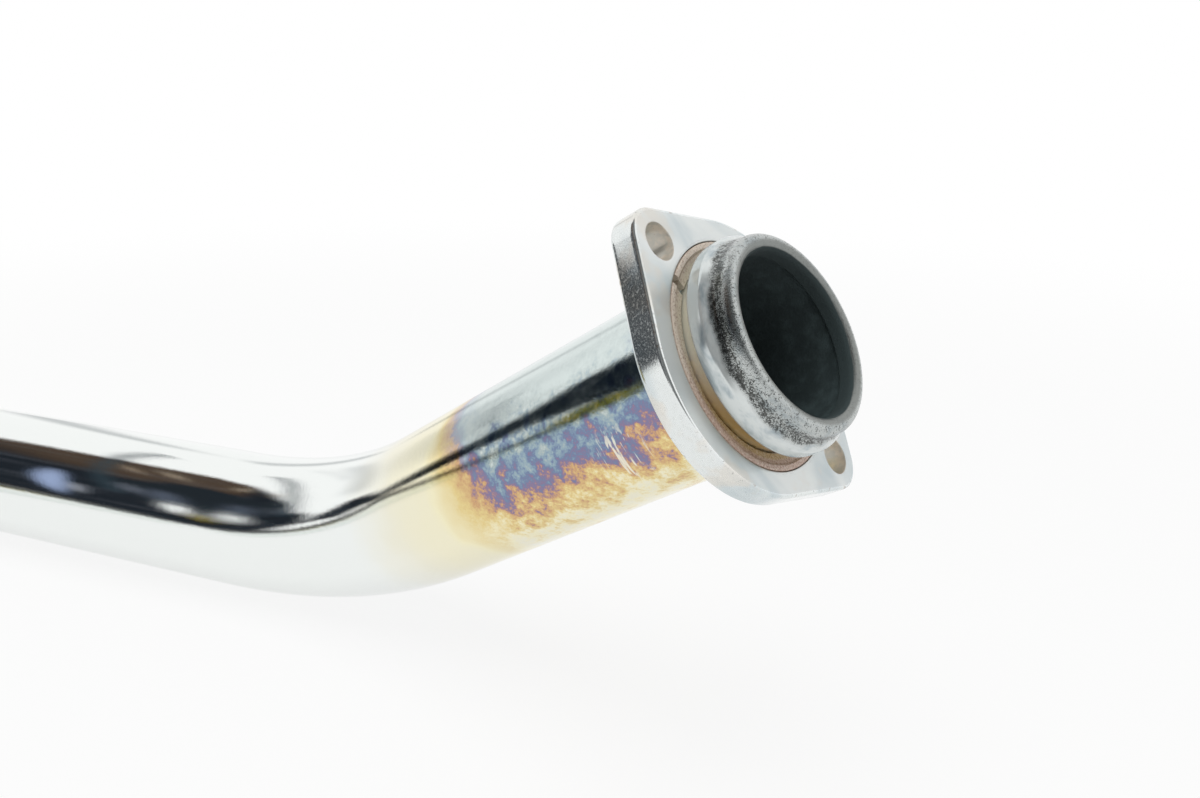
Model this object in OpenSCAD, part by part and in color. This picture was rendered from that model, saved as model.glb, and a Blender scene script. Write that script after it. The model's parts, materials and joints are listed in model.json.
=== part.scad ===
// Motorcycle exhaust header: a bent tube with a turned collar welded on its port end, a loose
// two-hole flange behind the collar and the split ring that holds the flange on.
// The origin is the centre of the flange's port face. The header lies as it does on a table,
// with its long straight along -X and the table at z = floor_z.

/* [Pipe] */
// Outer diameter of the tube
pipe_od = 44.45; // [40:0.05:52]
// Wall thickness of the tube
pipe_wall = 1.6; // [1.2:0.1:2.5]
// From the flange's port face to the vertex of the elbow
port_leg = 160.3; // [120:0.1:220]
// Centre-line radius of the elbow
elbow_clr = 145; // [100:1:180]
// From the elbow's vertex to the vertex of the second bend
long_leg = 300; // [240:1:420]
// Centre-line radius of the second bend
tail_clr = 90; // [60:1:120]
// From the second bend's vertex to the cut outlet
tail_leg = 290; // [200:1:400]
// How far the tube's walls are drawn in along its bends
bend_draw = 0.1; // [0.05:0.05:0.3]

/* [Lie of the port] */
// How far the port leg rises above the table, in degrees
port_rise = 32.3; // [10:0.1:60]
// How far the port leg swings towards +Y, in degrees
port_swing = -14; // [-40:0.1:40]
// How far the flange is turned round the pipe, in degrees
flange_turn = 27.5; // [-90:0.1:90]
// How far the loose flange and its ring sit askew on the tube, in degrees
flange_cock = 2.1; // [0:0.1:3]
// Direction of the line that they are tipped about, in degrees round the pipe
cock_line = 114.3; // [0:0.1:360]

/* [Port collar] */
// From the flange's port face to the collar's rear shoulder
collar_gap = 3; // [2:0.1:8]
// Length of the collar along the pipe
collar_len = 10.5; // [10:0.1:16]
// How far the shoulder band stands out from the tube
collar_step = 3.1; // [2:0.025:4.5]
// Length of the shoulder band, from its rear face to where it starts to fall
band_len = 3.6; // [2:0.1:4.5]
// Rounding of the band's two edges
band_round = 1.2; // [0.4:0.1:1.4]
// Slope of the face between the band and the bead, in degrees from the pipe
band_slope = 42; // [35:1:60]
// Radius of the rounded bead at the mouth
bead_r = 2.05; // [1.7:0.05:2.3]
// How far the collar's mouth stands in from the tube's inner wall
mouth_step = 1.4; // [1:0.05:2]
// Length of the tube's end that sits in the collar
socket_len = 6; // [3:0.1:6.5]
// Clearance of the welded fit between tube and socket
weld_play = 0.05; // [0.02:0.01:0.2]

/* [Retaining ring] */
// Width of the ring from its inner to its outer edge
ring_width = 4.15; // [3.6:0.05:8]
// Thickness of the ring
ring_t = 3; // [2:0.1:5]
// Width of the flat land round the ring's outer edge
ring_land = 1.4; // [0.8:0.1:2]
// Step from the land down to the sloped inner face
ring_step = 0.35; // [0.1:0.05:0.6]
// Fall of the sloped inner face
ring_slope = 0.6; // [0.2:0.1:0.8]
// Bevel of the ring's outer edges
ring_bevel = 0.3; // [0.1:0.05:0.6]
// Width of the split
ring_split = 2.4; // [1:0.1:6]
// Place of the split round the ring, in degrees from the lower bolt hole
split_at = 190; // [0:1:359]
// Clearance between the tube and the ring
ring_play = 0.325; // [0.1:0.025:1]
// Clearance between the ring and the recess it sits in
recess_play = 0.3; // [0.1:0.05:1]

/* [Port flange] */
// Thickness of the flange
flange_t = 7; // [5.5:0.1:12]
// Clearance between the tube and the flange's bore
bore_play = 0.775; // [0.4:0.025:1.5]
// Metal round the recess, out to the flange's round edge
flange_rim = 5.7; // [4:0.1:12]
// Metal between the recess and each bolt hole
bolt_web = 2; // [1:0.1:6]
// Diameter of the bolt holes
bolt_hole = 8.7; // [6:0.1:13]
// Metal round each bolt hole, at the tip of its ear
ear_wall = 3.65; // [2:0.05:8]
// Bevel round the flange's outer edges
flange_bevel = 0.9; // [0.2:0.1:1.5]
// Gap between the back of the ring and the floor of its recess
recess_gap = 0.2; // [0.1:0.05:0.5]

/* [Hidden] */
$fn = 96;
over = 1;
lap = 0.5;
arc_steps = 12;

pipe_r = pipe_od / 2;
bore_r = pipe_r - pipe_wall;

// The port axis points out of the port, and the long straight runs along -X from the vertex.
port_axis = [
    cos(port_rise) * cos(port_swing),
    cos(port_rise) * sin(port_swing),
    sin(port_rise)
];
vertex = -port_leg * port_axis;
bend_angle = acos(port_axis.x);
bend_roll = atan2(port_axis.z, port_axis.y);
elbow_tangent = elbow_clr * tan(bend_angle / 2);
floor_z = vertex.z - pipe_r;

collar_r = pipe_r + collar_step;
mouth_r = bore_r - mouth_step;
collar_front = collar_gap + collar_len;
pipe_end = collar_gap + socket_len;

ring_in_r = pipe_r + ring_play;
ring_out_r = ring_in_r + ring_width;

recess_r = ring_out_r + recess_play;
recess_depth = ring_t + recess_gap;
flange_bore_r = pipe_r + bore_play;
flange_r = recess_r + flange_rim;
bolt_r = bolt_hole / 2;
bolt_x = recess_r + bolt_web + bolt_r;
ear_r = bolt_r + ear_wall;
// Direction of the normal of each straight flank, from the bolt line
flank_angle = acos((flange_r - ear_r) / bolt_x);
flank_len = bolt_x * sin(flank_angle);

// Points on an arc about c, from angle a to angle b
function arc(c, r, a, b) = [
    for (i = [0 : arc_steps])
        let (t = a + (b - a) * i / arc_steps)
        c + r * [cos(t), sin(t)]
];

// Puts its children in the port's frame, with z along the port axis and z = 0 on the flange's face
module at_port() {
    rotate([0, 90 - port_rise, port_swing]) children();
}

// Puts its children in the loose flange's frame, a little askew, with x towards the lower bolt hole
module at_flange() {
    at_port()
        rotate(flange_cock, [cos(cock_line), sin(cock_line), 0])
        rotate([0, 0, flange_turn])
        children();
}

// A stretch of bend filled to radius r, from its start on the local X axis
module bend(clr, angle, r) {
    rotate_extrude(angle = angle) translate([clr, 0]) circle(r - bend_draw);
}

// The tube's route filled to radius r, with its two cut ends made longer by extra. The straights
// run a little way into the bends.
module route(r, extra) {
    at_port()
        translate([0, 0, elbow_tangent - port_leg - lap])
        cylinder(r = r, h = port_leg - elbow_tangent + pipe_end + lap + extra);
    translate(vertex) {
        rotate([bend_roll, 0, 0])
            translate([-elbow_tangent, elbow_clr, 0])
            rotate([0, 0, -90])
            bend(elbow_clr, bend_angle, r);
        translate([lap - elbow_tangent, 0, 0])
            rotate([0, -90, 0])
            cylinder(r = r, h = long_leg - tail_clr - elbow_tangent + 2 * lap);
        translate([tail_clr - long_leg, -tail_clr, 0])
            rotate([0, 0, 90])
            bend(tail_clr, 90, r);
        translate([-long_leg, lap - tail_clr, 0])
            rotate([90, 0, 0])
            cylinder(r = r, h = tail_leg - tail_clr + lap + extra);
    }
}

module header_pipe() {
    color("silver")
        difference() {
            route(pipe_r, 0);
            route(bore_r, over);
        }
}

// A turned ring: a shoulder band, a sloping face and a rounded bead at the mouth, with a socket
// for the tube inside
module port_collar() {
    rear_c = [collar_r - band_round, collar_gap + band_round];
    edge_c = [collar_r - band_round, collar_gap + band_len];
    bead_c = [mouth_r + bead_r, collar_front - bead_r];
    // The slope runs on from the band's rounded edge to the bead's outer side
    slope_start = edge_c + band_round * [cos(band_slope), sin(band_slope)];
    slope_fall = slope_start.x - bead_c.x - bead_r;
    color("lightgray")
        at_port()
        rotate_extrude()
        polygon(concat(
            [[pipe_r + weld_play, collar_gap]],
            arc(rear_c, band_round, -90, 0),
            arc(edge_c, band_round, 0, band_slope),
            [[bead_c.x + bead_r, slope_start.y + slope_fall / tan(band_slope)]],
            arc(bead_c, bead_r, 0, 180),
            [[mouth_r, pipe_end]],
            [[pipe_r + weld_play, pipe_end]]
        ));
}

// A split ring that lies flush in the flange's recess, with a flat land and a sloped inner face
module retaining_ring() {
    land_r = ring_out_r - ring_land;
    color("rosybrown")
        at_flange()
        rotate([0, 0, split_at])
        difference() {
            rotate_extrude()
                polygon([
                    [ring_in_r, -ring_t],
                    [ring_out_r - ring_bevel, -ring_t],
                    [ring_out_r, ring_bevel - ring_t],
                    [ring_out_r, -ring_bevel],
                    [ring_out_r - ring_bevel, 0],
                    [land_r, 0],
                    [land_r, -ring_step],
                    [ring_in_r, -ring_step - ring_slope]
                ]);
            translate([0, -ring_split / 2, -ring_t - over])
                cube([ring_out_r + over, ring_split, ring_t + 2 * over]);
        }
}

// A disc with both of its edges bevelled
module bevelled_disc(r) {
    rotate_extrude()
        polygon([
            [0, 0],
            [r - flange_bevel, 0],
            [r, flange_bevel],
            [r, flange_t - flange_bevel],
            [r - flange_bevel, flange_t],
            [0, flange_t]
        ]);
}

// One straight flank between the round middle and an ear, with the same bevels
module flank() {
    rotate([0, 0, flank_angle])
        translate([flange_r, 0, 0])
        rotate([90, 0, 0])
        linear_extrude(height = flank_len)
        polygon([
            [-ear_r, 0],
            [-flange_bevel, 0],
            [0, flange_bevel],
            [0, flange_t - flange_bevel],
            [-flange_bevel, flange_t],
            [-ear_r, flange_t]
        ]);
}

module port_flange() {
    color("gainsboro")
        at_flange()
        translate([0, 0, -flange_t])
        difference() {
            union() {
                bevelled_disc(flange_r);
                for (side = [0, 180])
                    rotate([0, 0, side]) {
                        translate([bolt_x, 0, 0]) bevelled_disc(ear_r);
                        flank();
                        mirror([0, 1, 0]) flank();
                    }
            }
            translate([0, 0, -over]) cylinder(r = flange_bore_r, h = flange_t + 2 * over);
            translate([0, 0, flange_t - recess_depth]) cylinder(r = recess_r, h = recess_depth + over);
            for (side = [-1, 1])
                translate([side * bolt_x, 0, -over]) cylinder(r = bolt_r, h = flange_t + 2 * over);
        }
}

header_pipe();
port_collar();
retaining_ring();
port_flange();
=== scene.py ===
import json
import math

import bmesh
import bpy
import numpy as np
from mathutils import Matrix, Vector
from mathutils.geometry import delaunay_2d_cdt


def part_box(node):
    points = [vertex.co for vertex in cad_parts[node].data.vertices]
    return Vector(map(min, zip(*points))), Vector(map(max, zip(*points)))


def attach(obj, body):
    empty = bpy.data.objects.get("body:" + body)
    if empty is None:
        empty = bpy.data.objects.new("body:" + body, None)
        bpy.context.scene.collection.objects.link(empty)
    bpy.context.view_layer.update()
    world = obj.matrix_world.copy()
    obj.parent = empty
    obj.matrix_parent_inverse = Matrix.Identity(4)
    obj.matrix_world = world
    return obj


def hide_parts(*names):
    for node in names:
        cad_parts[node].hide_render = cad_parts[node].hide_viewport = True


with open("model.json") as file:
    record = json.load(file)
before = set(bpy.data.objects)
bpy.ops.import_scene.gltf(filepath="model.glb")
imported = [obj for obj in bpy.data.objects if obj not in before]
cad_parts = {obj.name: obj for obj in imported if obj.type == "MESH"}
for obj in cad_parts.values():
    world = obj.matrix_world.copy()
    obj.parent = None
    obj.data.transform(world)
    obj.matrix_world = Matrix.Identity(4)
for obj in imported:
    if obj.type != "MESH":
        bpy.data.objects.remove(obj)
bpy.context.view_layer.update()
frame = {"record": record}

bl_info = {
    "name": "Exhaust Header",
    "version": (1, 0, 0),
    "blender": (4, 5, 0),
    "location": "3D View > Sidebar > Header",
    "description": "Dresses a bent chrome exhaust header with its port collar, ring and flange",
    "category": "Add Mesh",
}

# A millimetre in metres, and a metre in millimetres
MM = 0.001
TO_MM = 1000.0


def unit(vector):
    """The vector scaled to length one"""
    return np.asarray(vector, float) / np.linalg.norm(vector)


MOUNTS = {mount["name"]: mount for mount in frame["record"]["mounts"]}
PORT_AXIS = unit(MOUNTS["port_spigot"]["axis"])
FLANGE_AXIS = unit(MOUNTS["port_bolts"]["axis"])
BOLT_X = MOUNTS["port_bolts"]["dims"]["pcd_mm"] * MM / 2
BOLT_R = MOUNTS["port_bolts"]["dims"]["hole_r_mm"] * MM
BAND_R = MOUNTS["port_spigot"]["dims"]["r_mm"] * MM
TUBE_R = MOUNTS["outlet"]["dims"]["r_mm"] * MM
TUBE_LOW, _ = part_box("header_pipe")
FLOOR_Z = TUBE_LOW.z
LINE_Z = FLOOR_Z + TUBE_R

# The elbow's vertex lies on the port axis, at the height of the long straight's centre line
ELBOW = PORT_AXIS * LINE_Z / PORT_AXIS[2]
TAIL = np.array([MOUNTS["outlet"]["pos_m"][0], ELBOW[1], LINE_Z])
OUTLET = np.array([TAIL[0], TUBE_LOW.y, LINE_Z])

# Points round the tube, collar, split ring and each hole, then the tube's spacing and its soot's lumps
TUBE_TURNS, COLLAR_TURNS, RING_TURNS, HOLE_TURNS = 160, 288, 260, 128
TUBE_STEP = 2.6 * MM
SOOT_LUMP = 0.35 * MM

# Where the scratches lie on the tube, and which way they run
SCRATCH_AT = (-0.0240, -0.0152, -0.0224)
SCRATCH_ALONG = unit((0.42, 0.32, -0.85))

# The flange's own directions: from the port axis to the lower bolt hole, and across
FLANGE_Y = unit(MOUNTS["port_face"]["pos_m"])
FLANGE_X = unit(np.cross(FLANGE_Y, FLANGE_AXIS))
PORT_X = unit(np.cross(FLANGE_Y, PORT_AXIS))
PORT_Y = np.cross(PORT_AXIS, PORT_X)


def from_hex(code):
    """A web colour as the linear red, green and blue that shaders use"""
    shares = [int(code[i : i + 2], 16) / 255 for i in (1, 3, 5)]
    return [s / 12.92 if s <= 0.04045 else ((s + 0.055) / 1.055) ** 2.4 for s in shares]


def length(label, text, value):
    """A length property in metres"""
    return bpy.props.FloatProperty(
        name=label, description=text, default=value, subtype="DISTANCE", unit="LENGTH", precision=5
    )


def angle(label, text, degrees):
    """An angle property, given here in degrees"""
    return bpy.props.FloatProperty(
        name=label, description=text, default=math.radians(degrees), subtype="ANGLE", unit="ROTATION"
    )


def colour(label, text, code):
    """A colour property, given here as a web colour"""
    return bpy.props.FloatVectorProperty(
        name=label, description=text, default=from_hex(code), size=3, subtype="COLOR", min=0, max=1
    )


class TubeSettings(bpy.types.PropertyGroup):
    """Sizes and colours of the bent tube"""

    wall: length("Wall", "Thickness of the tube's wall", 1.6 * MM)
    elbow_radius: length("Elbow radius", "Centre-line radius of the elbow behind the port", 145 * MM)
    tail_radius: length("Tail radius", "Centre-line radius of the second bend", 90 * MM)
    socket_end: length("Socket end", "How far the tube runs past the flange's face", 9 * MM)
    rim_round: length("Rim rounding", "Rounding of the cut ends", 0.4 * MM)
    bare: colour("Chrome", "Chrome that the heat hasn't reached", "#f3f6f4")
    straw: colour("Straw", "First heat colour", "#f1eedc")
    pale_gold: colour("Pale gold", "Gold where it is thin", "#f5eecb")
    gold: colour("Gold", "Gold of the heat ring", "#e7d193")
    rust: colour("Orange", "Orange past the gold", "#d0a57c")
    purple: colour("Purple", "Purple of the hot zone", "#927e9c")
    violet: colour("Violet", "Violet blue of the hot zone", "#788aa9")
    blue: colour("Blue", "Light blue past the violet", "#98aebb")
    steel: colour("Steel blue", "Blue-grey of the hottest side", "#b3c0bf")
    pale: colour("Pale", "Pale upper side", "#d8e2e0")
    neck: colour("Neck", "Ochre of the neck between ring and collar", "#c2a468")
    soot: colour("Soot", "Soot inside the tube", "#384344")


class CollarSettings(bpy.types.PropertyGroup):
    """Sizes and colours of the turned collar at the port"""

    rear: length("Rear", "From the flange's face to the collar's rear face", 3 * MM)
    front: length("Front", "From the flange's face to the mouth", 13.5 * MM)
    band_end: length("Band end", "From the flange's face to where the band starts to fall", 7.06 * MM)
    band_round: length("Band rounding", "Rounding of the band's edges", 1.2 * MM)
    slope: angle("Slope", "Slope of the face between band and bead", 42)
    bead_r: length("Bead", "Radius of the bead at the mouth", 2.05 * MM)
    mouth_r: length("Mouth", "Inner radius of the mouth", 19.225 * MM)
    play: length("Play", "Play between the tube and the socket", 0.05 * MM)
    smooth: colour("Smooth", "The smooth shoulder band", "#dbe0df")
    # Painted reflection: blue-grey streaks drawn round the band
    streaks: colour("Streaks", "Blue-grey streaks on the band", "#a5b2b8")
    pitted: colour("Pits", "Dark pits of the slope", "#3a3b39")
    satin: colour("Satin", "The satin lip round the mouth", "#7f827f")
    soot: colour("Soot", "Soot inside the mouth", "#384344")


class RingSettings(bpy.types.PropertyGroup):
    """Sizes and colours of the split ring"""

    inner_r: length("Inner radius", "Inner radius of the ring", 22.55 * MM)
    outer_r: length("Outer radius", "Outer radius of the ring", 26.85 * MM)
    thickness: length("Thickness", "Thickness of the ring", 3 * MM)
    land: length("Land", "Width of the flat land round the outer edge", 1.4 * MM)
    step: length("Step", "Step from the land to the sloped face", 0.35 * MM)
    fall: length("Fall", "Fall of the sloped face", 0.6 * MM)
    gap: length("Split", "Width of the split", 2.4 * MM)
    split_at: angle("Split at", "Place of the split from the lower bolt hole", 190)
    brown: colour("Brown", "Heat-browned steel", "#d2b8a9")
    cream: colour("Cream", "The pale side of the ring", "#ece4d4")
    ochre: colour("Ochre", "The stained inner face", "#d6be92")
    rust: colour("Rust", "Rust in the ring's edges", "#7d5538")
    light: colour("Light grains", "Pale grains all over the ring", "#f0e6dc")
    dark: colour("Dark grains", "Dark grains all over the ring", "#8a5f4c")
    # The line is painted shade: a dark line in the step between the land and the sloped face
    line: colour("Line", "The line at the step", "#8d6b48")


class FlangeSettings(bpy.types.PropertyGroup):
    """Sizes and colours of the two-hole flange"""

    thickness: length("Thickness", "Thickness of the flange", 7 * MM)
    round_r: length("Round radius", "Radius of the round middle", 32.7 * MM)
    ear_r: length("Ear radius", "Radius of each ear's tip", 8 * MM)
    bore_r: length("Bore", "Radius of the bore round the tube", 23 * MM)
    recess_r: length("Recess", "Radius of the ring's recess", 27 * MM)
    recess_depth: length("Recess depth", "Depth of the ring's recess", 3.2 * MM)
    edge: length("Edge rounding", "Rounding of the outer edges", 0.9 * MM)
    lip: length("Lip rounding", "Rounding of the holes' edges", 0.25 * MM)
    face: colour("Face", "Chrome plate", "#e9edec")
    cloud: colour("Cloud", "Cloudy patches on the face", "#c0cdd2")
    warm: colour("Warm", "Warm stain on the face", "#e3d9cb")
    rust: colour("Rust", "Rust specks along the edges", "#8b6a4a")
    stain: colour("Stain", "Stain on the walls of the bolt holes", "#cfccc3")


class StageSettings(bpy.types.PropertyGroup):
    """Camera, floor and the colours of the room"""

    place: bpy.props.FloatVectorProperty(
        name="Camera", description="Where the camera stands", subtype="TRANSLATION", unit="LENGTH",
        default=(51.107 * MM, -215.943 * MM, 64.119 * MM),
    )
    pitch: angle("Pitch", "How far the camera looks down", 18.7922)
    heading: angle("Heading", "How far the camera is turned to the left of +Y", 22.0085)
    lens: bpy.props.FloatProperty(
        name="Lens", description="Focal length on a sensor 36 mm wide", default=31.080, precision=3
    )
    floor_size: length("Floor", "Side of the floor", 4.0)
    room: colour("Dark room", "The unlit side of the room", "#1f242b")
    room_warm: colour("Warm wall", "The upper part of the unlit side", "#4d3f34")
    haze: colour("Haze", "Lighter patches on the unlit side", "#6b6f78")
    unlit: colour("Unlit space", "The space behind the camera and overhead", "#33383a")
    far: colour("Far lines", "The line, the pole and the patch far off", "#46555e")


class HeaderSettings(bpy.types.PropertyGroup):
    """All settings of the header"""

    tube: bpy.props.PointerProperty(type=TubeSettings)
    collar: bpy.props.PointerProperty(type=CollarSettings)
    ring: bpy.props.PointerProperty(type=RingSettings)
    flange: bpy.props.PointerProperty(type=FlangeSettings)
    stage: bpy.props.PointerProperty(type=StageSettings)


# Shapes

def full_turn(count):
    """Evenly spaced angles of one full turn"""
    return np.linspace(0, 2 * math.pi, count, endpoint=False)


def turned(vector, axis, angles):
    """The vector turned round a unit axis: v cos a + (k x v) sin a + k (k.v)(1 - cos a)"""
    swing = np.cross(axis, vector)
    return vector * np.cos(angles) + swing * np.sin(angles) + axis * (axis @ vector) * (1 - np.cos(angles))


def bent_line(corners, radii, step):
    """A centre line of straights and round bends. A straight is evenly spaced points. A bend is
    start + R (sin t h + (1 - cos t) m), where h is the heading and m points to its centre.
    Gives the points, their headings and one side direction that turns only with the bends."""
    place, heading = corners[0], unit(corners[1] - corners[0])
    side = unit(np.cross(heading, corners[2] - corners[1]))
    rows = []

    def straight(end, closed):
        """Adds evenly spaced points from the present place to an end"""
        count = max(2, round(np.linalg.norm(end - place) / step))
        share = np.linspace(0, 1, count, endpoint=closed)[:, None]
        rows.append((place + share * (end - place), heading + 0 * share, side + 0 * share))

    for corner, after, radius in zip(corners[1:-1], corners[2:], radii):
        onward = unit(after - corner)
        bend = math.acos(heading @ onward)
        setback = radius * math.tan(bend / 2)
        start = corner - setback * heading
        straight(start, False)
        inward = unit(onward - math.cos(bend) * heading)
        hinge = np.cross(heading, inward)
        t = np.linspace(0, bend, max(8, round(bend * radius / step)), endpoint=False)[:, None]
        arc = start + radius * (np.sin(t) * heading + (1 - np.cos(t)) * inward)
        rows.append((arc, np.cos(t) * heading + np.sin(t) * inward, turned(side, hinge, t)))
        place = corner + setback * onward
        side, heading = turned(side, hinge, bend), onward
    straight(corners[-1], True)
    return [np.vstack(part) for part in zip(*rows)]


def rounded(corners, radii, steps=7):
    """A closed outline with rounded corners: each corner gives way to an arc that is tangent to
    both of its sides, drawn by turning evenly from the first tangent point to the second."""
    corners = np.array(corners, float)
    arcs = []
    for before, corner, after, radius in zip(np.roll(corners, 1, 0), corners, np.roll(corners, -1, 0), radii):
        back, onward = unit(before - corner), unit(after - corner)
        half = math.acos(np.clip(back @ onward, -1, 1)) / 2
        centre = corner + unit(back + onward) * radius / math.sin(half)
        first = corner + back * radius / math.tan(half) - centre
        last = corner + onward * radius / math.tan(half) - centre
        sweep = math.pi - 2 * half
        t = np.linspace(0, 1, steps + 1)[:, None]
        arcs.append(centre + (np.sin((1 - t) * sweep) * first + np.sin(t * sweep) * last) / math.sin(sweep))
    outline = np.vstack(arcs)
    kept = np.linalg.norm(outline - np.roll(outline, 1, 0), axis=1) > 1e-7
    return outline[kept]


def evenly(outline, longest):
    """The same closed outline with each long side split into equal lengths"""
    pieces = []
    for start, end in zip(outline, np.roll(outline, -1, 0)):
        count = max(1, math.ceil(np.linalg.norm(end - start) / longest))
        pieces.append(start + np.linspace(0, 1, count, endpoint=False)[:, None] * (end - start))
    return np.vstack(pieces)


def cells(rows, columns, wrap_rows, wrap_columns, first=0):
    """The four-sided faces of a grid of points, where a wrapped direction joins its end to its start"""
    index = first + np.arange(rows * columns).reshape(rows, columns)
    if wrap_rows:
        index = np.vstack([index, index[:1]])
    if wrap_columns:
        index = np.hstack([index, index[:, :1]])
    corners = [index[:-1, :-1], index[:-1, 1:], index[1:, 1:], index[1:, :-1]]
    return np.stack(corners, axis=-1).reshape(-1, 4)


def ripple(points, wavelength, seed):
    """A smooth uneven field between about -1 and 1: the mean of sine waves in drawn directions"""
    random = np.random.default_rng(seed)
    waves = random.normal(size=(9, 3))
    waves /= np.linalg.norm(waves, axis=1)[:, None]
    waves *= random.uniform(0.6, 1.5, (9, 1)) * 2 * math.pi / wavelength
    phases = random.uniform(0, 2 * math.pi, 9)
    return np.sin(points @ waves.T + phases).mean(axis=-1) * 1.8


def piece(name, points, faces, body, node, materials, face_materials=None, attributes=None):
    """Makes a mesh object from points and faces, faces outward, smooth, and dresses the CAD node"""
    mesh = bpy.data.meshes.new(name)
    mesh.from_pydata(points.reshape(-1, 3).tolist(), [], [list(face) for face in faces])
    for label, values in (attributes or {}).items():
        stored = mesh.attributes.new(label, "FLOAT", "POINT")
        stored.data.foreach_set("value", values.astype(np.float32).ravel())
    for material in materials:
        mesh.materials.append(material)
    if face_materials is not None:
        mesh.polygons.foreach_set("material_index", face_materials.astype(np.int32))
    shape = bmesh.new()
    shape.from_mesh(mesh)
    bmesh.ops.remove_doubles(shape, verts=shape.verts, dist=1e-6)
    bmesh.ops.recalc_face_normals(shape, faces=shape.faces)
    shape.to_mesh(mesh)
    shape.free()
    mesh.shade_smooth()
    thing = bpy.data.objects.new(name, mesh)
    bpy.context.scene.collection.objects.link(thing)
    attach(thing, body)
    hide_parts(node)
    return thing


def revolved(profile, turns, axis, across, up):
    """A profile of radius and height carried round an axis: r cos t a + r sin t b + z k"""
    r, z = profile[:, 0], profile[:, 1]
    cos, sin = np.cos(turns), np.sin(turns)
    return (r * cos)[..., None] * across + (r * sin)[..., None] * up + (z + 0 * turns)[..., None] * axis


# Materials

class Value:
    """A number, place, colour or shader in a node tree. Sums of numbers add Math nodes."""

    def __init__(self, socket):
        self.socket = socket
        self.tree = socket.id_data

    def __add__(self, other):
        return maths("ADD", self, other)

    def __sub__(self, other):
        return maths("SUBTRACT", self, other)

    def __rsub__(self, other):
        return maths("SUBTRACT", other, self)

    def __mul__(self, other):
        return maths("MULTIPLY", self, other)

    __radd__, __rmul__ = __add__, __mul__


def add(tree, kind, inputs=None, **settings):
    """Adds a shader node. Inputs are linked where they are values and set where they are plain."""
    made = tree.nodes.new("ShaderNode" + kind)
    for label, value in settings.items():
        setattr(made, label, value)
    for label, value in (inputs or {}).items():
        socket = made.inputs[label]
        if isinstance(value, Value):
            tree.links.new(value.socket, socket)
        else:
            socket.default_value = (*value, 1) if socket.type == "RGBA" else value
    return made


def result(tree, kind, inputs=None, output=0, **settings):
    """Adds a shader node and gives one of its outputs"""
    return Value(add(tree, kind, inputs, **settings).outputs[output])


def maths(operation, *terms):
    """One sum on values and plain numbers"""
    tree = next(term.tree for term in terms if isinstance(term, Value))
    return result(tree, "Math", dict(enumerate(terms)), operation=operation)


def largest(first, *others):
    """The largest of some values"""
    for other in others:
        first = maths("MAXIMUM", first, other)
    return first


def combined(operation, first, second, output=0):
    """Two places taken together, as a place or as the number that output names"""
    return result(first.tree, "VectorMath", {0: first, 1: second}, output, operation=operation)


def dot(where, axis):
    """How far a place lies along an axis"""
    return combined("DOT_PRODUCT", where, axis, "Value")


def between(value, low, high, start=0.0, end=1.0):
    """A smooth change from start to end as the value goes from low to high"""
    inputs = {"Value": value, "From Min": low, "From Max": high, "To Min": start, "To Max": end}
    return result(value.tree, "MapRange", inputs, interpolation_type="SMOOTHSTEP")


def within(value, low, high, soft):
    """A share that is 1 from low to high and falls smoothly to 0 past them"""
    return between(value - low, -soft, soft) * between(high - value, -soft, soft)


def blend(share, first, second):
    """Two colours mixed by a share"""
    return result(share.tree, "Mix", {0: share, 6: first, 7: second}, 2, data_type="RGBA")


def noise(where, scale, detail=3.0, roughness=0.55, distortion=0.0):
    """A noise value from 0 to 1 at a place"""
    labels = ("Vector", "Scale", "Detail", "Roughness", "Distortion")
    return result(where.tree, "TexNoise", dict(zip(labels, (where, scale, detail, roughness, distortion))))


def stretched(where, axis, amount):
    """Object coordinates squeezed along an axis, so that a noise on them is drawn out that way"""
    inputs = {0: axis, "Scale": dot(where, axis) * (amount - 1)}
    return combined("ADD", where, result(where.tree, "VectorMath", inputs, operation="SCALE"))


def attribute(tree, label):
    """A value stored on the mesh"""
    return result(tree, "Attribute", output="Fac", attribute_name=label)


def ramp(value, stops):
    """A colour that follows a value through places and their colours"""
    made = add(value.tree, "ValToRGB", {"Fac": value})
    elements = made.color_ramp.elements
    while len(elements) < len(stops):
        elements.new(0.5)
    for element, (place, shade) in zip(elements, stops.items()):
        element.position = place
        element.color = (*shade, 1)
    return Value(made.outputs[0])


def bump(height, strength, depth):
    """A bumped normal from a height"""
    return result(height.tree, "Bump", {"Height": height, "Strength": strength, "Distance": depth})


def emptied(owner):
    """The node tree of a new material or world, with nothing in it"""
    owner.use_nodes = True
    owner.node_tree.nodes.clear()
    return owner.node_tree


def object_place(tree):
    """Object coordinates"""
    return result(tree, "TexCoord", output="Object")


def new_material(name, shader):
    """A new material. shader gets the empty node tree and gives the last shader in it."""
    made = bpy.data.materials.new(name)
    tree = emptied(made)
    add(tree, "OutputMaterial", {"Surface": shader(tree)})
    return made


def surface(name, fill):
    """A principled material. fill gets the node tree and object coordinates and gives its inputs."""
    return new_material(name, lambda tree: result(tree, "BsdfPrincipled", fill(tree, object_place(tree))))


# How far behind the flange each step of heat starts and is full, in mm, and what it adds, then the same
# two places for the hot zone
HEAT_STEPS = ((140.0, 95.0, 0.20), (96.0, 80.0, 0.22), (82.0, 67.0, 0.26))
HOT_ZONE = (91.0, 69.0)

# The heat at which each of the tube's colours is pure
HEAT_COLOURS = {
    "bare": 0.0, "straw": 0.13, "pale_gold": 0.25, "gold": 0.38, "rust": 0.50,
    "purple": 0.58, "violet": 0.67, "blue": 0.77, "steel": 0.86, "pale": 0.99,
}
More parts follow.
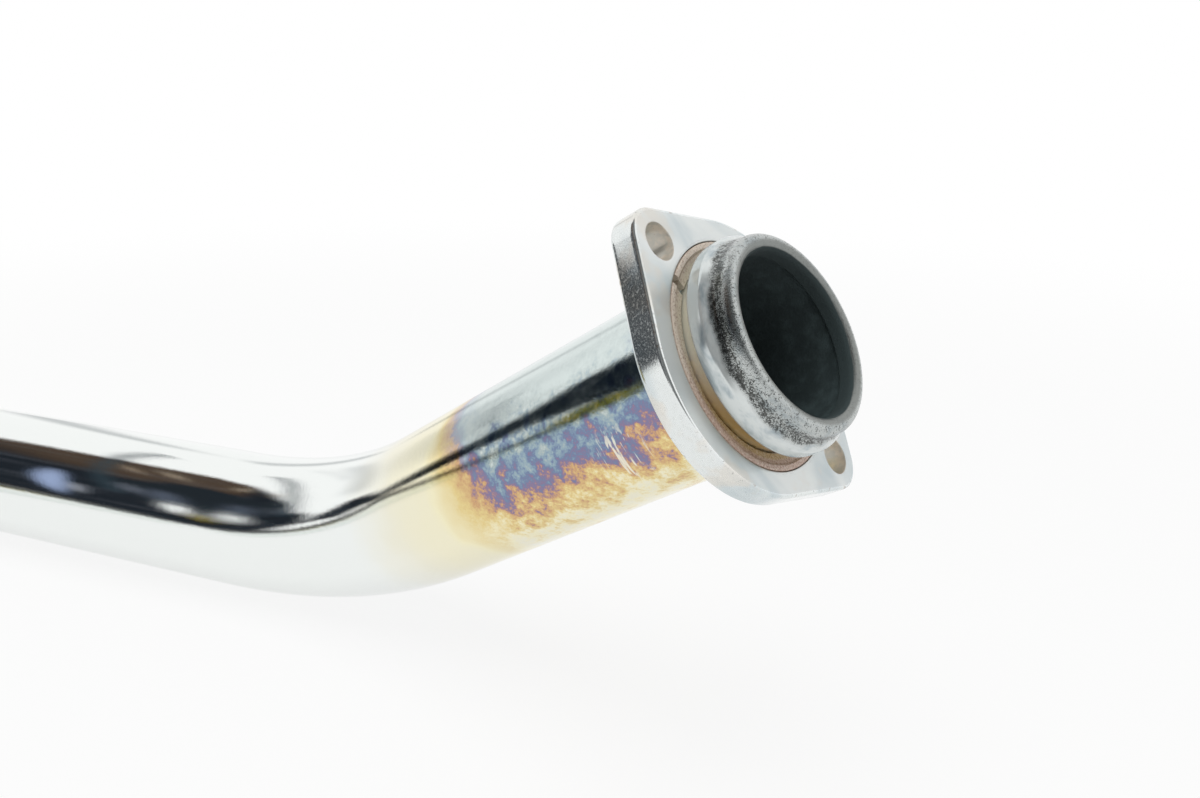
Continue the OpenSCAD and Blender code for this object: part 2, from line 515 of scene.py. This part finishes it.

# Where each finish and the ring's painted step shade start and are full, in mm: heights and radii on the
# collar, then radii on the ring
PITTED, DENSE, BEAD = (7.7, 8.9), (12.2, 10.2), (10.2, 11.4)
LIP, MOUTH_SOOT = (21.9, 20.9), (19.95, 19.65)
RING_INNER, STEP_SHADE_START, STEP_SHADE_END, RING_RIM = (24.4, 23.8), (24.85, 25.05), (25.45, 25.25), (26.60, 26.80)


def tube_chrome(settings):
    """Chrome with heat colours: straw at the elbow, a gold ring, then purple and blue to the port"""

    def fill(tree, where):
        behind = attribute(tree, "behind_flange") * TO_MM
        lift = attribute(tree, "lift")
        slow = noise(where, 55.0, 2.0) - 0.5
        blotch = noise(where, 230.0, 5.0, 0.62) - 0.5
        grain = noise(where, 1100.0, 4.0, 0.7) - 0.5
        uneven = behind + slow * 16.0
        heat = sum(between(uneven, start, end, 0.0, gain) for start, end, gain in HEAT_STEPS)
        hot = between(uneven, *HOT_ZONE)
        # Cooler towards the underside and hotter towards the top, with patches of both
        spread = maths("MINIMUM", lift + 0.06, 0.0) * 0.62 + largest(lift, 0.0) * 0.46
        spread = spread + blotch * 0.85 + grain * 0.36 + slow * 0.38
        heat = largest(heat + spread * hot, hot * 0.17)
        heat = heat - between(behind, 26.0, 8.0) * 0.10
        tint = ramp(largest(heat, 0.0), {at: getattr(settings, label) for label, at in HEAT_COLOURS.items()})
        # The side above the dark streak is nearly clear of colour
        clear = hot * between(lift + blotch * 0.8, 0.18, 0.50, 0.0, 0.80)
        tint = blend(clear, tint, settings.pale)
        neck = blend(between(lift, 0.3, -0.5), settings.straw, settings.neck)
        tint = blend(between(behind, 4.0, -1.0, 0.0, 0.95), tint, neck)
        # A small patch of scratches across the hot zone
        near = between(combined("DISTANCE", where, SCRATCH_AT, "Value"), 0.0100, 0.0040)
        lines = noise(stretched(where, SCRATCH_ALONG, 0.05), 1100.0, 2.0, 0.6)
        tint = blend(near * between(lines, 0.52, 0.62) * 0.85, tint, settings.straw)
        # Scuffed where it is hot, and dull in the neck
        scuff = noise(stretched(where, PORT_AXIS, 0.25), 420.0, 3.0, 0.6)
        dull = between(behind, 2.5, 0.0)
        rough = hot * between(scuff, 0.35, 0.8, 0.04, 0.16) + dull * 0.30 + 0.05
        relief = bump(grain, 0.10, 0.0002)
        return {"Base Color": tint, "Metallic": 1.0 - dull * 0.6, "Roughness": rough, "Normal": relief}

    return surface("header_chrome", fill)


def tube_soot(settings):
    """Dry soot with small lumps"""

    def fill(tree, where):
        lumps = noise(where, 260.0, 5.0, 0.6)
        grain = noise(where, 1500.0, 3.0, 0.6)
        shade = blend(between(lumps, 0.4, 0.75), settings.soot, [c * 1.7 for c in settings.soot])
        return {"Base Color": shade, "Roughness": 0.92, "Normal": bump(lumps + grain * 0.3, 0.5, 0.0005)}

    return surface("exhaust_soot", fill)


def collar_steel(settings):
    """Turned steel: smooth with painted reflection streaks on the band, pitted on the slope, satin at the
    lip, sooty inside
    """

    def fill(tree, where):
        height = attribute(tree, "height") * TO_MM
        radius = attribute(tree, "radius") * TO_MM
        # Painted reflection: streaks drawn round the band that stand in for its darker reflections
        painted_reflection_streak = noise(stretched(where, PORT_AXIS, 2.5), 120.0, 4.0, 0.6, 0.3)
        slow = noise(where, 110.0, 3.0) - 0.5
        pits = noise(where, 900.0, 3.0, 0.6) * 0.35 + noise(where, 3000.0, 3.0, 0.7) * 0.65
        edge = height + slow * 3.0
        pitted = between(edge, *PITTED)
        dense = pitted * between(edge, *DENSE, 0.35, 1.0)
        bead = between(height, *BEAD)
        lip = between(radius, *LIP)
        soot = between(radius + slow * 0.6, *MOUTH_SOOT)
        specks = between(pits + dense * 0.13, 0.58, 0.64) * pitted * 0.90
        # Painted reflection streaks on the band
        shade = blend(between(painted_reflection_streak, 0.45, 0.70), settings.smooth, settings.streaks)
        shade = blend(largest(dense * 0.52, bead * 0.40), shade, settings.satin)
        shade = blend(specks, shade, settings.pitted)
        shade = blend(lip * 0.85, shade, settings.satin)
        shade = blend(soot, shade, settings.soot)
        rough = largest(pitted * 0.04 + lip * 0.10 + 0.15, soot * 0.92)
        metal = (pitted * 0.42 + 0.58) * (1.0 - soot)
        relief = bump(pits * pitted, 0.45, 0.0003)
        return {"Base Color": shade, "Metallic": metal, "Roughness": rough, "Normal": relief}

    return surface("collar_steel", fill)


def ring_steel(settings):
    """Spring steel browned by heat, with a painted shade line in its step, rusty edges and a pale upper side
    """

    def fill(tree, where):
        radius = attribute(tree, "radius") * TO_MM
        mottle = noise(where, 800.0, 5.0, 0.65)
        grain = noise(where, 2000.0, 3.0, 0.75)
        slow = noise(where, 60.0, 2.0) - 0.5
        upper = between(dot(where, -FLANGE_X) + slow * 0.02, 0.002, 0.016)
        inner = between(radius, *RING_INNER)
        # The step band marks painted shade: a dark line where the land steps down to the sloped face
        step = between(radius, *STEP_SHADE_START) * between(radius, *STEP_SHADE_END)
        shade = blend(inner, settings.brown, settings.ochre)
        shade = blend(upper * (inner * 0.3 + 0.65), shade, settings.cream)
        shade = blend(between(mottle, 0.55, 0.72, 0.0, 0.35), shade, settings.rust)
        shade = blend(between(grain, 0.48, 0.62, 0.0, 0.65), shade, settings.light)
        shade = blend(between(grain, 0.46, 0.36, 0.0, 0.55), shade, settings.dark)
        # Painted shade in the step
        shade = blend(step * 0.40, shade, settings.line)
        shade = blend(between(radius, *RING_RIM, 0.0, 0.45), shade, settings.rust)
        relief = bump(grain + mottle * 0.6, 0.5, 0.0003)
        return {"Base Color": shade, "Metallic": 0.25, "Roughness": 0.48, "Normal": relief}

    return surface("ring_steel", fill)


def flange_plate(settings):
    """Cloudy chrome plate: scratched sides, rust specks on its edges and stained bolt holes"""

    def fill(tree, where):
        edge, hole, side = (attribute(tree, label) for label in ("edge", "hole", "side"))
        cloud = noise(stretched(where, FLANGE_X, 0.5), 60.0, 3.0, 0.5, 0.5)
        brush = noise(stretched(where, SCRATCH_ALONG, 0.12), 2600.0, 3.0, 0.7)
        grain = noise(where, 1600.0, 3.0, 0.7)
        warm = between(noise(where, 85.0, 3.0, 0.6), 0.54, 0.66, 0.0, 0.45)
        spot = between(noise(where, 300.0, 5.0, 0.7), 0.60, 0.66, 0.0, 0.45)
        chips = between(noise(where, 1300.0, 3.0, 0.7), 0.60, 0.66, 0.0, 0.45)
        shade = blend(between(cloud, 0.4, 0.65, 0.0, 0.8), settings.face, settings.cloud)
        shade = blend(warm, shade, settings.warm)
        shade = blend(spot * edge, shade, settings.rust)
        shade = blend(chips * edge, shade, [c * 0.2 for c in settings.face])
        stain = blend(between(noise(where, 420.0, 4.0, 0.65), 0.42, 0.62), settings.stain, settings.warm)
        stain = blend(between(grain, 0.60, 0.75, 0.0, 0.35), stain, settings.rust)
        shade = blend(hole, shade, stain)
        # The face is cloudier than the rounded edges, and scratches dull the sides
        flat = 1.0 - largest(edge, side)
        scuffs = between(brush, 0.50, 0.66) * (side - edge)
        rough = brush * 0.07 + flat * 0.14 + 0.07
        metal = 1.0 - flat * 0.50 - side * 0.10 - scuffs * 0.28 - hole * 0.15
        relief = bump(brush + grain * 0.3, 0.03, 0.0002)
        return {"Base Color": shade, "Metallic": metal, "Roughness": rough, "Normal": relief}

    return surface("flange_plate", fill)


# Operators

class HEADER_OT_tube(bpy.types.Operator):
    """Makes the bent tube, with chrome outside and soot inside"""

    bl_idname = "header.tube"
    bl_label = "Add tube"

    def execute(self, context):
        settings = context.scene.exhaust_header.tube
        corners = [PORT_AXIS * settings.socket_end, ELBOW, TAIL, OUTLET]
        centre, heading, side = bent_line(corners, [settings.elbow_radius, settings.tail_radius], TUBE_STEP)
        last = len(centre) - 1
        ease = settings.rim_round
        quarter = np.linspace(0, math.pi / 2, 5)
        bore_r = TUBE_R - settings.wall
        back = quarter[::-1]
        # Each row is a ring: which centre it has, its radius and how far it is pushed along the line
        row = np.concatenate([0 * quarter, np.arange(1, last), last + 0 * quarter, last + 0 * quarter,
                              np.arange(last - 1, 0, -1), 0 * quarter]).astype(int)
        flat = np.ones(last - 1)
        radius = np.concatenate([TUBE_R - ease + ease * np.cos(back), TUBE_R * flat,
                                 TUBE_R - ease + ease * np.cos(quarter), bore_r + ease - ease * np.cos(back),
                                 bore_r * flat, bore_r + ease - ease * np.cos(quarter)])
        push = np.concatenate([ease - ease * np.sin(back), 0 * flat, ease * np.sin(quarter) - ease,
                               ease * np.sin(back) - ease, 0 * flat, ease - ease * np.sin(quarter)])
        turns = full_turn(TUBE_TURNS)
        up = np.cross(heading, side)
        cos, sin = np.cos(turns)[:, None], np.sin(turns)[:, None]
        outward = cos * side[row][:, None] + sin * up[row][:, None]
        inner = np.arange(len(row)) >= 2 * len(quarter) + len(flat)
        along = np.concatenate([[0], np.cumsum(np.linalg.norm(np.diff(centre, axis=0), axis=1))])
        middle = centre[row] + push[:, None] * heading[row]
        points = middle[:, None] + radius[:, None, None] * outward
        lumps = ripple(points, 9 * MM, 4) * ripple(points, 4 * MM, 7)
        points += (inner[:, None] * np.clip(lumps, 0, 1) * -SOOT_LUMP)[..., None] * outward
        behind = (along[row] + push - settings.socket_end)[:, None] + 0 * outward[..., 2]
        faces = cells(len(row), len(turns), True, True)
        soot = np.repeat(inner, len(turns)).astype(int)
        piece("tube", points, faces, "pipe", "header_pipe",
              [tube_chrome(settings), tube_soot(settings)], soot,
              {"behind_flange": behind, "lift": outward[..., 2]})
        return {"FINISHED"}


class HEADER_OT_collar(bpy.types.Operator):
    """Makes the turned collar: a shoulder band, a sloping face and a bead at the mouth"""

    bl_idname = "header.collar"
    bl_label = "Add collar"

    def execute(self, context):
        settings = context.scene.exhaust_header.collar
        socket_end = context.scene.exhaust_header.tube.socket_end
        socket_r = TUBE_R + settings.play
        bead_out = settings.mouth_r + 2 * settings.bead_r
        slope_end = settings.band_end + (BAND_R - bead_out) / math.tan(settings.slope)
        profile = rounded(
            [
                (socket_r, settings.rear), (BAND_R, settings.rear),
                (BAND_R, settings.band_end), (bead_out, slope_end),
                (bead_out, settings.front), (settings.mouth_r, settings.front),
                (settings.mouth_r, socket_end), (socket_r, socket_end),
            ],
            [0.1 * MM, settings.band_round, settings.band_round, 1.2 * MM,
             settings.bead_r, settings.bead_r, 0.4 * MM, 0.1 * MM],
        )
        profile = evenly(profile, 0.45 * MM)
        turns = full_turn(COLLAR_TURNS)[:, None]
        points = revolved(profile, turns, PORT_AXIS, PORT_X, PORT_Y)
        zone = {"radius": profile[:, 0] + 0 * turns, "height": profile[:, 1] + 0 * turns}
        piece("collar", points, cells(len(turns), len(profile), True, True), "pipe", "port_collar",
              [collar_steel(settings)], attributes=zone)
        return {"FINISHED"}


class HEADER_OT_ring(bpy.types.Operator):
    """Makes the split ring that lies in the flange's recess"""

    bl_idname = "header.ring"
    bl_label = "Add split ring"

    def execute(self, context):
        settings = context.scene.exhaust_header.ring
        land_r = settings.outer_r - settings.land
        profile = rounded(
            [
                (settings.inner_r, -settings.thickness), (settings.outer_r, -settings.thickness),
                (settings.outer_r, 0), (land_r, 0),
                (land_r, -settings.step), (settings.inner_r, -settings.step - settings.fall),
            ],
            [0.3 * MM, 0.3 * MM, 0.3 * MM, 0.12 * MM, 0.1 * MM, 0.25 * MM],
            5,
        )
        profile = evenly(profile, 0.4 * MM)
        # The split has parallel sides, so it takes a wider angle nearer the middle
        clear = np.arcsin(settings.gap / 2 / profile[:, 0])
        share = np.linspace(0, 1, RING_TURNS)[:, None]
        turns = settings.split_at + clear + share * (2 * math.pi - 2 * clear)
        points = revolved(profile, turns, FLANGE_AXIS, FLANGE_X, FLANGE_Y)
        first = np.arange(len(profile))
        last = first + (RING_TURNS - 1) * len(profile)
        faces = [*cells(len(share), len(profile), False, True).tolist(), first.tolist(), last.tolist()]
        made = piece("retaining_ring_split", points, faces, "pipe", "retaining_ring",
                     [ring_steel(settings)], attributes={"radius": profile[:, 0] + 0 * turns})
        made.data.set_sharp_from_angle(angle=math.radians(50))
        return {"FINISHED"}


def flange_outline(settings, inset, columns=28):
    """The flange's outline drawn in by each inset of a column: arcs of the ears and of the round middle,
    joined by the straight flanks that are tangent to both"""
    round_r, ear_r = settings.round_r - inset, settings.ear_r - inset
    flank = math.acos((settings.round_r - settings.ear_r) / BOLT_X)

    def arc(x, radius, start, end, count):
        t = np.linspace(start, end, count)
        return np.stack([x + radius * np.cos(t), radius * np.sin(t)], axis=-1)

    parts = [
        arc(BOLT_X, ear_r, -flank, flank, columns),
        arc(0.0, round_r, flank, math.pi - flank, 3 * columns),
        arc(-BOLT_X, ear_r, math.pi - flank, math.pi + flank, columns),
        arc(0.0, round_r, math.pi + flank, 2 * math.pi - flank, 3 * columns),
    ]
    return np.concatenate(parts, axis=-2)


def flat_cap(loops, circles):
    """Triangles between an outer loop and round holes, with the triangles inside the holes left out"""
    points = np.vstack(loops)
    edges, first = [], 0
    for loop in loops:
        index = first + np.arange(len(loop))
        edges += np.stack([index, np.roll(index, -1)], axis=1).tolist()
        first += len(loop)
    found = delaunay_2d_cdt([Vector(p) for p in points], edges, [], 1, 1e-9)
    flat, faces = np.array([tuple(v) for v in found[0]]), np.array(found[2])
    middle = flat[faces].mean(axis=1)
    outside = np.ones(len(faces), bool)
    for x, radius in circles:
        outside &= np.hypot(middle[:, 0] - x, middle[:, 1]) > radius * 0.999
    return flat, faces[outside]


class HEADER_OT_flange(bpy.types.Operator):
    """Makes the loose flange: rounded edges, two bolt holes, the bore and the ring's recess"""

    bl_idname = "header.flange"
    bl_label = "Add flange"

    def execute(self, context):
        settings = context.scene.exhaust_header.flange
        back, edge, lip = -settings.thickness, settings.edge, settings.lip
        margin = 0.35 * MM
        quarter = np.linspace(0, math.pi / 2, 8)
        points, faces, shares, count = [], [], [], 0

        def strip(grid, depth, share):
            """Adds rows of loops at their depths. Each row has its share of edge, hole and side."""
            nonlocal count
            rows, columns = grid.shape[:2]
            points.append(np.dstack([grid, np.broadcast_to(depth[:, None], (rows, columns))]).reshape(-1, 3))
            faces.extend(cells(rows, columns, False, True, count).tolist())
            shares.append(np.repeat(share, columns, axis=0))
            count += rows * columns

        def cap(loops, circles, depth):
            """Adds a flat face at a depth"""
            nonlocal count
            flat, triangles = flat_cap(loops, circles)
            points.append(np.column_stack([flat, np.full(len(flat), depth)]))
            faces.extend((triangles + count).tolist())
            shares.append(np.zeros((len(flat), 3)))
            count += len(flat)

        side = np.linspace(-edge, back + edge, 12)
        inset = np.concatenate([[edge + margin], edge - edge * np.sin(quarter), 0 * side[1:-1],
                                edge - edge * np.cos(quarter), [edge + margin]])
        depth = np.concatenate([[0], edge * np.cos(quarter) - edge, side[1:-1],
                                back + edge - edge * np.sin(quarter), [back]])
        rounding = (inset > 0.02 * edge) & (inset < 0.98 * edge)
        on_side = inset < 0.5 * edge
        outer = flange_outline(settings, inset[:, None])
        strip(outer, depth, np.column_stack([rounding, 0 * inset, on_side]).astype(float))

        def round_hole(x, profile, hole_share):
            """Adds a round wall whose profile gives radius and depth"""
            t = full_turn(HOLE_TURNS)
            r = profile[:, :1]
            inside = (profile[:, 0] < profile[0, 0] - margin - 0.5 * lip) * hole_share
            strip(np.stack([x + r * np.cos(t), r * np.sin(t)], axis=-1), profile[:, 1],
                  np.column_stack([0 * inside, inside, 0 * inside]))

        a = quarter[::2]

        def lipped(radius, top, bottom):
            """A wall with both of its lips rounded and a narrow flat margin round each"""
            wall = np.linspace(top - lip, bottom + lip, 8)[1:-1]
            return np.concatenate([
                [[radius + lip + margin, top]],
                np.column_stack([radius + lip - lip * np.sin(a), top - lip + lip * np.cos(a)]),
                np.column_stack([radius + 0 * wall, wall]),
                np.column_stack([radius + lip - lip * np.cos(a), bottom + lip - lip * np.sin(a)]),
                [[radius + lip + margin, bottom]],
            ])

        floor = -settings.recess_depth
        for x in (-BOLT_X, BOLT_X):
            round_hole(x, lipped(BOLT_R, 0.0, back), 1.0)
        bore = lipped(settings.bore_r, floor, back)
        recess = np.concatenate([
            lipped(settings.recess_r, 0.0, floor)[: len(a) + 1],
            np.column_stack([settings.recess_r + 0 * a, np.linspace(-lip * 1.5, floor + lip, len(a))]),
            np.column_stack([settings.recess_r - lip + lip * np.cos(a), floor + lip - lip * np.sin(a)])[1:],
        ])
        round_hole(0.0, np.concatenate([recess, bore]), 0.0)

        circle = full_turn(HOLE_TURNS)
        unit_circle = np.column_stack([np.cos(circle), np.sin(circle)])
        for row, depth_at, middle_r in ((0, 0.0, settings.recess_r), (-1, back, settings.bore_r)):
            holes = ((0.0, middle_r), (-BOLT_X, BOLT_R), (BOLT_X, BOLT_R))
            rounds = [(x, r + lip + margin) for x, r in holes]
            loops = [outer[row]] + [unit_circle * r + (x, 0) for x, r in rounds]
            cap(loops, rounds, depth_at)

        local, shares = np.vstack(points), np.vstack(shares)
        world = local[:, :1] * FLANGE_X + local[:, 1:2] * FLANGE_Y + local[:, 2:] * FLANGE_AXIS
        piece("flange", world, faces, "flange", "port_flange", [flange_plate(settings)],
              attributes={"edge": shares[:, 0], "hole": shares[:, 1], "side": shares[:, 2]})
        return {"FINISHED"}


# Stage

WHITE = (1.0, 1.0, 1.0)

# The middle of the dark space overhead, then the middle of the floor and the distances where it fades
OVERHEAD = (0.036, -0.205, 0.978)
FLOOR_MIDDLE = (-0.15, -0.05, FLOOR_Z)
FLOOR_FADE = (0.35, 0.9)
SQUARE = ((-1, -1), (1, -1), (1, 1), (-1, 1))

# Where the soft lamp stands and the place that it points at, then its size and power
SOFT_LAMP = ((-0.2, -0.3, 1.6), (-0.15, 0.0, 0.0), 1.4, 14.0)

# One-sided lamp panels in front of the long straight: centre, lengthwise direction, half width and half
# length in mm, colour, brightness and the share of its size from which each fades
PANEL_ACROSS = (-1, -0.45, 0)
LAMPS = {
    "main_lamp": ((-300.0, -102.0, -23.4), (0, 0.411, 0.912), 4, 36, "#ffffff", 4.0, 0.5),
    "lilac_lamp": ((-290.0, -23.2, -51.9), (0, 0.517, 0.856), 22, 24, "#a3b3d8", 0.9, 0.1),
    "lamp_1": ((-300.0, -55.6, -8.4), (0, 0.673, 0.74), 4, 22, "#9ea3b4", 0.9, 0.2),
    "lamp_2": ((-300.0, -47.3, -46.6), (0, 0.427, 0.904), 7, 14, "#b6bac6", 0.9, 0.2),
    "lamp_3": ((-300.0, -3.0, 21.7), (0, 0.971, 0.241), 3.5, 24, "#b7a48f", 0.9, 0.2),
    "lamp_4": ((-300.0, -4.2, 48.0), (0, 0.98, 0.201), 4.5, 30, "#c2b19c", 0.9, 0.2),
    "lamp_5": ((-300.0, -76.0, 0.5), (0, 0.639, 0.77), 22, 30, "#6d7688", 0.6, 0.1),
}

# Cards across the long straight's line: X, colour, and corners along Y and Z, in millimetres. They are
# the dark side of the room as the port leg shows it, a warm patch, and a line moved up and then down.
LINE_HALF = 4.0
THIN_LINE = [(85, 41.5), (66, 36), (15, 24), (-30, 4), (-72, -22)]
CARDS = {
    "dark_card": (-313, "#23292f", [
        (-240, 105), (-43, 105), (-43, 70), (-36, 50), (-45, 28),
        (-38, 12), (-58, -4), (-98, -16), (-150, -13), (-240, -20),
    ]),
    "warm_card": (-312, "#8f7f2c", [
        (-240, -22), (-150, -15), (-133, -21), (-142, -44), (-170, -56), (-240, -66),
    ]),
    "thin_card": (-311, "#37464f", [
        *((y, z + LINE_HALF) for y, z in THIN_LINE), *((y, z - LINE_HALF) for y, z in THIN_LINE[::-1]),
    ]),
}


def ray_is(tree, kind):
    """1 for rays of a kind and 0 for others"""
    return result(tree, "LightPath", output=f"Is {kind} Ray")


def paint_room(settings):
    """The surroundings. The camera sees white. Polished metal also shows the unlit side of the room on
    the left, some far lines and the space behind the camera. Both angles are in degrees: a turn is 0 at
    +Y and 90 at +X, and a rise is 0 at the horizon."""
    world = bpy.data.worlds.new("studio")
    bpy.context.scene.world = world
    tree = emptied(world)
    ray = result(tree, "TexCoord", output="Generated")
    x, y, z = (Value(out) for out in add(tree, "SeparateXYZ", {"Vector": ray}).outputs)
    turn = maths("WRAP", maths("ARCTAN2", x, y) * (180 / math.pi), 360.0, 0.0)
    rise = maths("ARCSINE", z) * (180 / math.pi)
    wobble = noise(ray, 5.0, 3.0) - 0.5
    smear = noise(ray, 16.0, 3.0) - 0.5

    # The unlit wall: its right edge leans, brown above and nearly black below
    edge = between(rise, 4.0, 12.0, 241.0, 248.5) + between(rise, 14.0, 43.0, 0.0, 22.0) + wobble * 3.0
    foot = between(turn, 226.0, 241.0, 0.9, 5.2)
    wall = within(turn, 196.0, edge, 1.2) * within(rise, foot, 76.0, 0.9)
    # The low dark strip that the elbow shows as a streak
    low = between(turn, 244.0, 250.0, 4.4, 1.2) + between(turn, 255.0, 261.0, 0.0, -3.2)
    top = between(turn, 243.0, 249.0, 6.4, 8.0) + between(turn, 259.0, 267.0, 0.0, -3.5)
    strip = within(turn, 241.0, 265.0, 1.4) * within(rise, low, top, 0.8)
    shade = blend(between(rise + wobble * 9.0, 33.0, 41.0), settings.room, settings.room_warm)
    shade = blend(between(smear, 0.02, 0.2, 0.0, 0.35), shade, settings.haze)

    # A thin dark line, a pole and a grey patch far off
    line = rise - (turn - 288.0) * 0.19 - 15.4
    line = within(turn, 284.0, 302.0, 3.0) * within(line, -0.5, 0.5, 0.6)
    pole = within(turn, 310.0, 313.5, 1.8) * within(rise, -4.0, 26.0, 4.0)
    grey = within(turn, 268.0, 300.0, 4.0) * within(rise, 6.5, 13.0, 3.0)

    # The space behind the camera and overhead
    behind = within(turn, 116.0, 198.0, 8.0) * within(rise, 10.0, 78.0, 7.0)
    behind = largest(behind, between(dot(ray, OVERHEAD), 0.87, 0.94)) * (smear + 0.92)

    seen = blend(maths("MINIMUM", behind, 0.95), WHITE, settings.unlit)
    seen = blend(largest(line * 0.40, pole * 0.42, grey * 0.30), seen, settings.far)
    seen = blend(largest(wall, strip), seen, shade)

    glossy = ray_is(tree, "Glossy")
    direct = largest(ray_is(tree, "Camera"), glossy, ray_is(tree, "Transmission"))
    inputs = {"Color": blend(glossy, WHITE, seen), "Strength": between(direct, 0.0, 1.0, 0.55, 1.0)}
    add(tree, "OutputWorld", {"Surface": result(tree, "Background", inputs)})


def floor_white():
    """A white floor that keeps the object's faint shadow, and turns into the white surroundings far off"""

    def shader(tree):
        away = combined("DISTANCE", object_place(tree), FLOOR_MIDDLE, "Value")
        share = largest(ray_is(tree, "Camera") * between(away, *FLOOR_FADE, 0.84, 1.0),
                        ray_is(tree, "Glossy") * between(away, *FLOOR_FADE, 0.70, 1.0))
        matt = result(tree, "BsdfDiffuse", {"Color": (0.9, 0.905, 0.9)})
        white = result(tree, "Emission", {"Color": WHITE, "Strength": 1.0})
        return result(tree, "MixShader", {0: share, 1: matt, 2: white})

    return new_material("floor_white", shader)


def soft_lamp(name, place, aim, size, power):
    """A square soft lamp that points at a place"""
    lamp = bpy.data.lights.new(name, "AREA")
    lamp.size = size
    lamp.energy = power
    thing = bpy.data.objects.new(name, lamp)
    thing.location = place
    thing.rotation_euler = (Vector(aim) - Vector(place)).to_track_quat("-Z", "Y").to_euler()
    thing.visible_glossy = False
    bpy.context.scene.collection.objects.link(thing)


def glow(name, code, strength=1.0, shown=None):
    """A material that shines by itself, and is clear where the share that shown works out is 0"""

    def shader(tree):
        shine = result(tree, "Emission", {"Color": from_hex(code), "Strength": strength})
        if shown is None:
            return shine
        return result(tree, "MixShader", {0: shown(tree), 1: result(tree, "BsdfTransparent"), 2: shine})

    return new_material(name, shader)


def flat_face(name, corners, material):
    """An object with a single flat face"""
    mesh = bpy.data.meshes.new(name)
    mesh.from_pydata([tuple(corner) for corner in corners], [], [tuple(range(len(corners)))])
    mesh.materials.append(material)
    made = bpy.data.objects.new(name, mesh)
    bpy.context.scene.collection.objects.link(made)
    return made


def reflected_only(name, corners, material):
    """A flat card that only polished metal shows"""
    card = flat_face(name, corners, material)
    card.visible_camera = card.visible_diffuse = card.visible_shadow = card.visible_transmission = False


def lamp_panel(name, centre, along, wide, tall, code, strength, edge):
    """A lamp panel that shines on one side: centre + a u + b v, a and b from -1 to 1"""
    centre = np.array(centre) * MM
    halves = ((unit(PANEL_ACROSS), wide * MM), (unit(along), tall * MM))

    def shown(tree):
        off = combined("SUBTRACT", object_place(tree), centre)
        u, v = (dot(off, direction / half) for direction, half in halves)
        front = 1.0 - result(tree, "NewGeometry", output="Backfacing")
        return between(u * u + v * v, 1.0, edge * edge) * front

    u, v = (direction * half for direction, half in halves)
    corners = [centre + a * u + b * v for a, b in SQUARE]
    reflected_only(name, corners, glow(name, code, strength, shown))


class HEADER_OT_stage(bpy.types.Operator):
    """Makes the camera, the white floor, the lamps and cards, and the surroundings"""

    bl_idname = "header.stage"
    bl_label = "Add stage"

    def execute(self, context):
        settings = context.scene.exhaust_header.stage
        lens = bpy.data.cameras.new("camera")
        lens.lens = settings.lens
        lens.sensor_width = 36
        lens.clip_start = 0.01
        camera = bpy.data.objects.new("camera", lens)
        camera.location = settings.place
        camera.rotation_euler = (math.pi / 2 - settings.pitch, 0, settings.heading)
        context.scene.collection.objects.link(camera)
        context.scene.camera = camera
        half = settings.floor_size / 2
        floor = flat_face("floor", [(half * x, half * y, FLOOR_Z) for x, y in SQUARE], floor_white())
        soft_lamp("overhead_lamp", *SOFT_LAMP)
        for name, values in LAMPS.items():
            lamp_panel(name, *values)
        for name, (x, code, outline) in CARDS.items():
            reflected_only(name, [(x * MM, y * MM, z * MM) for y, z in outline], glow(name, code))
        paint_room(settings)
        context.scene.view_settings.view_transform = "Standard"
        return {"FINISHED"}


STEPS = (HEADER_OT_tube, HEADER_OT_collar, HEADER_OT_ring, HEADER_OT_flange, HEADER_OT_stage)
GROUPS = (TubeSettings, CollarSettings, RingSettings, FlangeSettings, StageSettings, HeaderSettings)


class HEADER_PT_sidebar(bpy.types.Panel):
    """Lists the steps in the sidebar"""

    bl_label = "Exhaust Header"
    bl_idname = "HEADER_PT_sidebar"
    bl_space_type = "VIEW_3D"
    bl_region_type = "UI"
    bl_category = "Header"

    def draw(self, context):
        for step in STEPS:
            self.layout.operator(step.bl_idname)
        settings = context.scene.exhaust_header
        for group in ("tube", "collar", "ring", "flange", "stage"):
            box = self.layout.box()
            box.label(text=group.title())
            for label in getattr(settings, group).__annotations__:
                box.prop(getattr(settings, group), label)


def register():
    for group in (*GROUPS, *STEPS, HEADER_PT_sidebar):
        bpy.utils.register_class(group)
    bpy.types.Scene.exhaust_header = bpy.props.PointerProperty(type=HeaderSettings)


def unregister():
    del bpy.types.Scene.exhaust_header
    for group in reversed((*GROUPS, *STEPS, HEADER_PT_sidebar)):
        bpy.utils.unregister_class(group)


def main():
    """Registers the add-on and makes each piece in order"""
    register()
    bpy.ops.header.tube()
    bpy.ops.header.collar()
    bpy.ops.header.ring()
    bpy.ops.header.flange()
    bpy.ops.header.stage()


if __name__ == "__main__":
    main()
